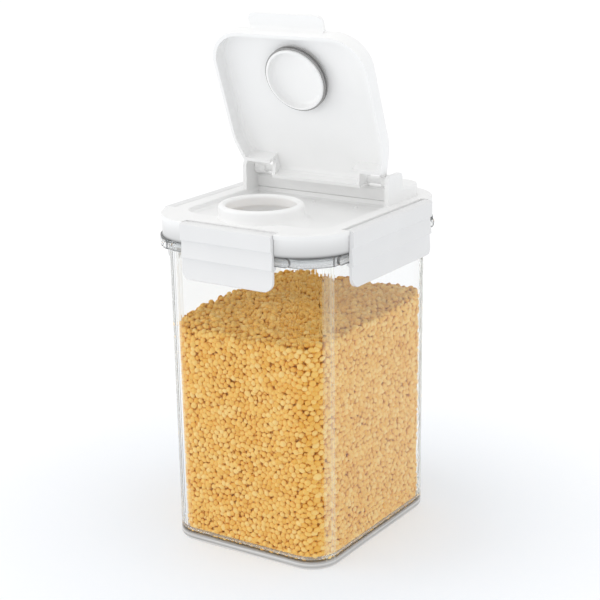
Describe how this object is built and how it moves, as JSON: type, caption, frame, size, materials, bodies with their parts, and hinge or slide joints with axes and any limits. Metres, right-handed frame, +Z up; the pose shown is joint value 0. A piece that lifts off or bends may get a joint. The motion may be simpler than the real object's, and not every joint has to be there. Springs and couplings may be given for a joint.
{
  "type": "cereal container with flip spout",
  "caption": "Clear tapered food tub with a latched white lid and a flip-up cover whose plug closes a round pouring spout.",
  "frame": {"origin": "centre of the tub's flat foot", "axes": "+X to the right along the front face, +Y to the back, +Z up; the spout is at the front and the cover's hinge at the back"},
  "size_m": [0.124, 0.144, 0.2979],
  "materials": {
    "clear_plastic": "clear, polished moulded plastic",
    "white_plastic": "white moulded plastic, satin",
    "silicone": "pale translucent silicone",
    "grey_silicone": "grey silicone",
    "cereal": "loose pale golden grain"
  },
  "bodies": {
    "container": {"container_body": "clear_plastic", "cereal_fill": "cereal"},
    "lid": {"lid_top": "white_plastic", "lid_liner": "white_plastic", "lid_gasket": "silicone", "hinge_pin_left": "white_plastic", "hinge_pin_right": "white_plastic"},
    "latch_front": {"latch_front": "white_plastic"},
    "latch_right": {"latch_right": "white_plastic"},
    "latch_back": {"latch_back": "white_plastic"},
    "latch_left": {"latch_left": "white_plastic"},
    "cover": {"flip_cover": "white_plastic", "plug_cup": "white_plastic", "plug_seal": "grey_silicone"}
  },
  "joints": [
    {"name": "lid_lift", "type": "slide", "parent": "container", "child": "lid", "axis": [0, 0, 1], "range_m": [0, 0.06]},
    {"name": "cover_hinge", "type": "hinge", "parent": "lid", "child": "cover", "pos_m": [0, 0.027, 0.203], "axis": [-1, 0, 0], "range_deg": [-70, 40]},
    {"name": "latch_front_hinge", "type": "hinge", "parent": "lid", "child": "latch_front", "pos_m": [0, -0.0674, 0.1886], "axis": [-1, 0, 0], "range_deg": [0, 90]},
    {"name": "latch_right_hinge", "type": "hinge", "parent": "lid", "child": "latch_right", "pos_m": [0.0574, 0, 0.1886], "axis": [0, -1, 0], "range_deg": [0, 90]},
    {"name": "latch_back_hinge", "type": "hinge", "parent": "lid", "child": "latch_back", "pos_m": [0, 0.0674, 0.1886], "axis": [1, 0, 0], "range_deg": [0, 90]},
    {"name": "latch_left_hinge", "type": "hinge", "parent": "lid", "child": "latch_left", "pos_m": [-0.0574, 0, 0.1886], "axis": [0, 1, 0], "range_deg": [0, 90]}
  ]
}
